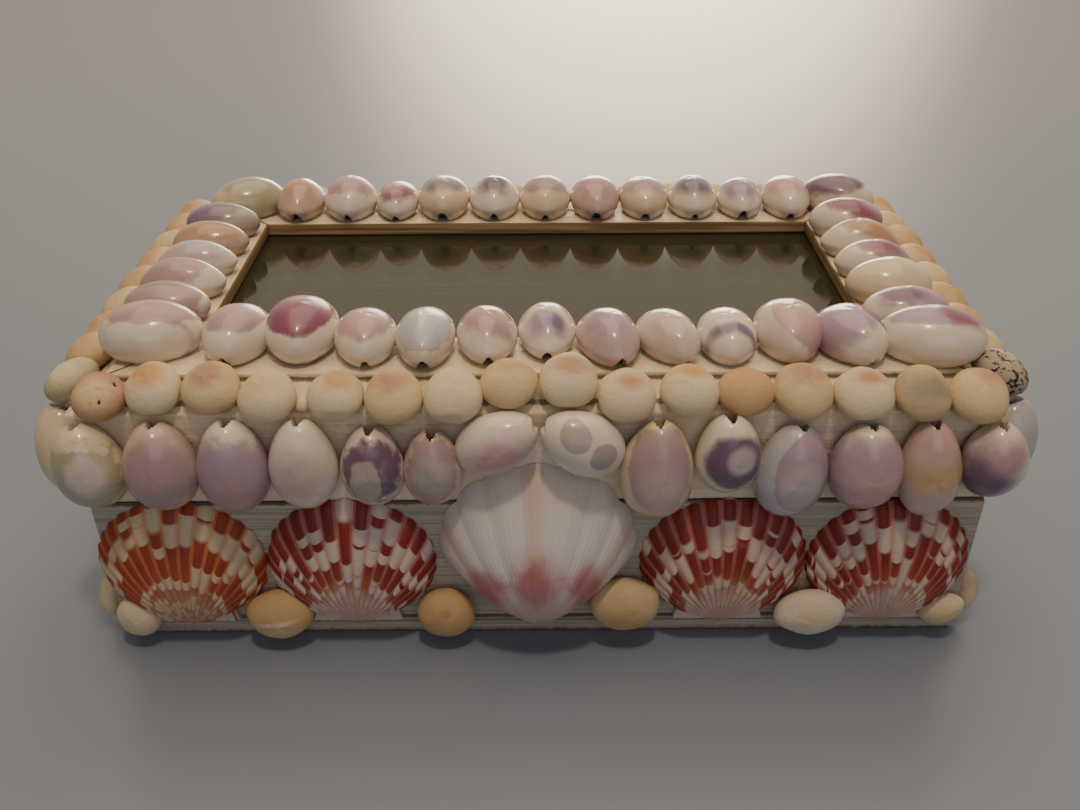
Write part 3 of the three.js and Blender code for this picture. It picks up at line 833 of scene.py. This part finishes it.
def scallop_valve(shape, where, width, height, depth, spread, ribs, relief, seed, per_rib=6):
    """A fan of ribs from the hinge to a scalloped rim, domed highest below its middle."""
    layers = scallop_layers(shape)
    fan = math.radians(spread)
    columns = ribs * per_rib
    rows = 34
    first_share = 0.02
    rim_wave = 0.022
    unevenness = 0.02
    grid = []
    for column in range(columns + 1):
        across = 2 * column / columns - 1
        angle = across * fan
        rib = column / per_rib
        crest = (0.5 - 0.5 * math.cos(2 * math.pi * rib)) ** 0.5
        line = []
        for row in range(rows + 1):
            share = first_share + (1 - first_share) * row / rows
            strength = min(1.0, share * 2.0)
            reach = height * math.cos(angle) * (1 - rim_wave * (1 - crest) * share ** 6)
            dome = 0.3 + 0.7 * math.sqrt(max(0.0, 1 - across * across))
            swell = math.sin(math.pi * (0.1 + 0.9 * share)) ** 0.75 if row < rows else 0.0
            waver = 1 + unevenness * noise.noise(Vector((across * 3, share * 4, seed)))
            z = depth * dome * swell * waver + relief * strength * crest * (row < rows)
            vert = shape.verts.new(where @ Vector((
                math.sin(angle) * reach * share * width / height,
                math.cos(angle) * reach * share, max(0.0, z))))
            vert[layers["fan"]] = (rib, share, across)
            line.append(vert)
        grid.append(line)
    for first, second in zip(grid, grid[1:]):
        for row in range(rows):
            shape.faces.new((first[row], second[row], second[row + 1], first[row + 1]))
    heel = shape.verts.new(where @ Vector((0, 0, 0)))
    heel[layers["fan"]] = (0, 0, 0)
    for first, second in zip(grid, grid[1:]):
        shape.faces.new((heel, first[rows], second[rows]))
        shape.faces.new((heel, second[0], first[0]))
    for row in range(rows):
        shape.faces.new((heel, grid[0][row], grid[0][row + 1]))
        shape.faces.new((heel, grid[-1][row + 1], grid[-1][row]))
    bmesh.ops.recalc_face_normals(shape, faces=shape.faces)


def scallop_ears(shape, where, span, height):
    """The two flat wings along the hinge, with a few growth folds."""
    layers = scallop_layers(shape)
    rise = 0.12 * height
    thickness = 0.0013
    tuck = 0.0006
    columns = 26
    rows = 6
    levels = []
    for top in (False, True):
        grid = []
        for column in range(columns + 1):
            x = span * (column / columns - 0.5)
            line = []
            for row in range(rows + 1):
                up = -tuck + (rise + tuck) * row / rows
                pull = 1 - 0.1 * row / rows
                fold = 0.00018 * math.sin(abs(x) * 2600) + 0.0001 * math.sin(up * 3000)
                z = thickness + fold if top else 0.0
                vert = shape.verts.new(where @ Vector((x * pull, up, z)))
                vert[layers["fan"]] = (-1.0 - abs(x) * 900, 0.1 + up * 12, 0.0)
                line.append(vert)
            grid.append(line)
        levels.append(grid)
    low, high = levels
    for column in range(columns):
        for row in range(rows):
            corner = [(column, row), (column + 1, row), (column + 1, row + 1), (column, row + 1)]
            shape.faces.new([high[c][r] for c, r in corner])
            shape.faces.new([low[c][r] for c, r in reversed(corner)])
        shape.faces.new((low[column][0], low[column + 1][0], high[column + 1][0], high[column][0]))
        shape.faces.new((low[column + 1][rows], low[column][rows], high[column][rows],
                         high[column + 1][rows]))
    for row in range(rows):
        shape.faces.new((low[0][row + 1], low[0][row], high[0][row], high[0][row + 1]))
        shape.faces.new((low[-1][row], low[-1][row + 1], high[-1][row + 1], high[-1][row]))


def calico_finish():
    shell = Finish("calico_scallop", Coat_Weight=0.1, Coat_Roughness=0.3)
    rib, share, _ = shell.parts(shell.carried("fan", out="Vector"))
    turn = shell.carried("streak", out="Alpha")
    amount = shell.carried("ground", out="Alpha")
    jumble = shell.carried("groove", out="Alpha")
    number = rib.maths("FLOOR")
    inside = rib.maths("FRACT") - 0.5
    crest = 1 - abs(inside).rises(0.28, 0.4)
    bent = (share - inside * inside * 0.06).maths("MAXIMUM", 0.02)
    own = shell.grain(shell.vector(number * 3.7 + turn * 25, bent * 4.2, turn + 4), 1.0, 1.0, 0.5)
    step = shell.grain(shell.vector(number * 1.9 + turn * 45, turn, 0.5), 1.0, 0.0, 0.5) - 0.5
    bands_per_growth = 1.71
    turns = bent.maths("LOGARITHM", math.e) * bands_per_growth + step * jumble + turn
    band = (turns * (2 * math.pi)).maths("SINE")
    tile = shell.grain(shell.vector(number * 7.7 + turn * 30, bent * 8.0, 2.0), 1.0, 0.0, 0.5)
    block = (band * 0.5 + (own - 0.5) * 1.3 + amount * 2.0 - 1.0).rises(-0.05, 0.07)
    block = block * (1 - tile.rises(0.6, 0.63))
    young = 1 - (share + (own - 0.5) * 0.16).rises(0.3, 0.5)
    young = young * (0.35 + jumble.rises(0.3, 0.5) * 0.5)
    fine = shell.grain(shell.vector(rib * 2.0, share * 60.0, turn), 1.0, 3.0, 0.6)
    deep = shell.blend((1 - share.rises(0.4, 0.65)) * 0.6, shell.carried("streak"),
                       tone(190, 106, 74))
    deep = shell.shaded(deep, 0.75 + own * 0.5)
    crests = shell.blend(block * (1 - young * 0.75), shell.carried("ground"), deep)
    grooves = shell.blend(block * 0.3, shell.carried("groove"), deep)
    grooves = shell.blend((1 - block) * 0.55, grooves, shell.carried("ground"))
    colour = shell.blend(crest, grooves, crests)
    colour = shell.blend(young * 0.7, colour, tone(214, 190, 174))
    colour = shell.shaded(colour, 0.88 + fine * 0.24)
    ear = 1 - rib.rises(-0.9, -0.6)
    mark = own.rises(0.5, 0.56) * (1 - jumble.rises(0.3, 0.5)) * 0.8
    colour = shell.blend(ear, colour, shell.blend(mark, tone(212, 200, 184), tone(150, 84, 70)))
    hinge = 1 - share.rises(0.03, 0.09)
    colour = shell.blend(hinge * (1 - ear), colour, tone(206, 174, 100))
    growth = (share * 420.0 + own * 3.0).maths("SINE")
    relief = growth * 0.1 + fine * 0.4 - block * 0.25
    shell.wear(Base_Color=colour, Roughness=0.42 + fine * 0.2,
               Normal=shell.bump(relief, 0.0004, 0.6))
    return shell.material


def pale_finish():
    shell = Finish("pale_scallop", Coat_Weight=0.1, Coat_Roughness=0.3)
    _, share, across = shell.parts(shell.carried("fan", out="Vector"))
    spot = shell.node("ShaderNodeTexCoord", out="Object")
    cloud = shell.grain(spot, 140.0, 4.0, 0.6)
    speck = shell.grain(spot, 1100.0, 3.0, 0.7)
    rays = shell.grain(shell.vector(across * 5.0, share * 0.6, 3.0), 1.0, 2.0, 0.5)
    warm = rays.rises(0.5, 0.66) * share.rises(0.3, 0.5) * 0.6
    middle = (1 - abs(across + 0.02).rises(0.02, 0.11)) * share.rises(0.25, 0.9) * 0.7
    colour = shell.blend(warm, tone(224, 218, 214), tone(222, 200, 184))
    colour = shell.blend(middle, colour, tone(220, 190, 172))
    # The pink lies in three clouds, by their places across and along the fan.
    blush = 0
    for centre, level in ((-0.8, 0.52), (-0.03, 0.44), (0.72, 0.52)):
        off = (((across - centre) / 0.42) ** 2 + ((share - level) / 0.2) ** 2) ** 0.5
        blush = (1 - (off + (cloud - 0.5) * 0.9).rises(0.1, 1.3)) + blush
    streaks = shell.grain(shell.vector(across * 26.0, share * 1.2, 7.0), 1.0, 2.0, 0.6)
    colour = shell.blend((blush * (0.5 + speck * 0.5 + streaks * 0.8)).rises(0.0, 1.0), colour,
                         tone(194, 124, 126))
    pinker = (1 - share.rises(0.3, 0.56)) * (0.25 + streaks * 0.5)
    colour = shell.blend(pinker, colour, tone(206, 156, 154))
    threads = (across * 150.0).maths("SINE") * (1 - share.rises(0.25, 0.7) * 0.75)
    shell.wear(Base_Color=shell.shaded(colour, 0.94 + speck * 0.12 + threads * 0.05),
               Roughness=0.4 + speck * 0.15,
               Normal=shell.bump(threads * 0.5 + cloud, 0.0003, 0.5))
    return shell.material


calico_shell = calico_finish()
pale_shell = pale_finish()
for side, shells in scallops.items():
    for number, (x, hinge, width, height, kind, amount, turn) in enumerate(shells, 1):
        shape = bmesh.new()
        where = seat(side, "wall", x / 1000, hinge / 1000)
        if kind == "pale":
            scallop_valve(shape, where, width / 1000, height / 1000, depth=0.0148, spread=50,
                          ribs=9, relief=0.0004, seed=turn, per_rib=12)
        else:
            scallop_valve(shape, where, width / 1000, height / 1000, depth=0.0075, spread=65,
                          ribs=21, relief=0.0006, seed=turn)
            scallop_ears(shape, where, span=0.0255, height=height / 1000)
            ground, streak, groove, jumble = calico[kind]
            layers = scallop_layers(shape)
            for vert in shape.verts:
                vert[layers["ground"]] = tone(*ground, amount)
                vert[layers["streak"]] = tone(*streak, turn)
                vert[layers["groove"]] = tone(*groove, jumble)
        joined(f"{side}_scallop_valve_{number}", shape,
               pale_shell if kind == "pale" else calico_shell,
               f"{side}_scallop_{number}")


# ------------------------ table, light and camera
# The box stands on a plain pale table top under soft warm light from above and a little behind,
# with a small lamp over it and a weaker fill from the front.
floor_mesh = bpy.data.meshes.new("table_top")
floor_shape = bmesh.new()
bmesh.ops.create_grid(floor_shape, x_segments=1, y_segments=1, size=3.0)
floor_shape.to_mesh(floor_mesh)
floor_shape.free()
table = Finish("pale_table", Base_Color=tone(128, 140, 160), Roughness=0.3)
floor_mesh.materials.append(table.material)
table_top = bpy.data.objects.new("table_top", floor_mesh)
bpy.context.scene.collection.objects.link(table_top)

world = bpy.data.worlds.new("room")
world.use_nodes = True
room = world.node_tree
ray = room.nodes.new("ShaderNodeTexCoord")
toward = room.nodes.new("ShaderNodeVectorMath")
toward.operation = "DOT_PRODUCT"
toward.inputs[1].default_value = Vector((0.1, 1.0, 0.12)).normalized()
room.links.new(ray.outputs["Generated"], toward.inputs[0])
base_light = room.nodes.new("ShaderNodeValue")
base_light.outputs[0].default_value = 0.24
strength = base_light.outputs[0]
# Two glows behind the box: a wide weak one, and a narrow strong one that shows in the gloss.
for low, gain in ((0.45, 1.15), (0.95, 15.0)):
    glow = room.nodes.new("ShaderNodeMapRange")
    glow.interpolation_type = "SMOOTHSTEP"
    glow.inputs["From Min"].default_value = low
    glow.inputs["To Max"].default_value = gain
    total = room.nodes.new("ShaderNodeMath")
    room.links.new(toward.outputs["Value"], glow.inputs["Value"])
    room.links.new(glow.outputs[0], total.inputs[0])
    room.links.new(strength, total.inputs[1])
    strength = total.outputs[0]
room.links.new(strength, room.nodes["Background"].inputs["Strength"])
room.nodes["Background"].inputs["Color"].default_value = tone(222, 206, 182)
bpy.context.scene.world = world


lit_point = Vector((0, 0, 0.05))


def add_light(name, place, size, power, colour):
    light = bpy.data.lights.new(name, "AREA")
    light.size = size
    light.energy = power
    light.color = tone(*colour)[:3]
    lamp = bpy.data.objects.new(name, light)
    lamp.location = place
    lamp.rotation_euler = (lit_point - Vector(place)).to_track_quat("-Z", "Y").to_euler()
    bpy.context.scene.collection.objects.link(lamp)


add_light("lamp", (0.03, -0.32, 1.1), 0.09, 3.2, (255, 226, 190))
add_light("ceiling", (0.0, 0.3, 1.25), 1.3, 11, (255, 228, 190))
add_light("fill", (0.2, -1.3, 0.7), 1.0, 2.4, (236, 236, 255))

camera_data = bpy.data.cameras.new("camera")
camera_data.sensor_width = 36.0
camera_data.lens = 34.03
camera = bpy.data.objects.new("camera", camera_data)
camera.location = (0.0005, -0.2863, 0.2146)
camera.rotation_euler = (math.radians(90 - 32.2), math.radians(0.25), math.radians(-0.22))
bpy.context.scene.collection.objects.link(camera)
bpy.context.scene.camera = camera
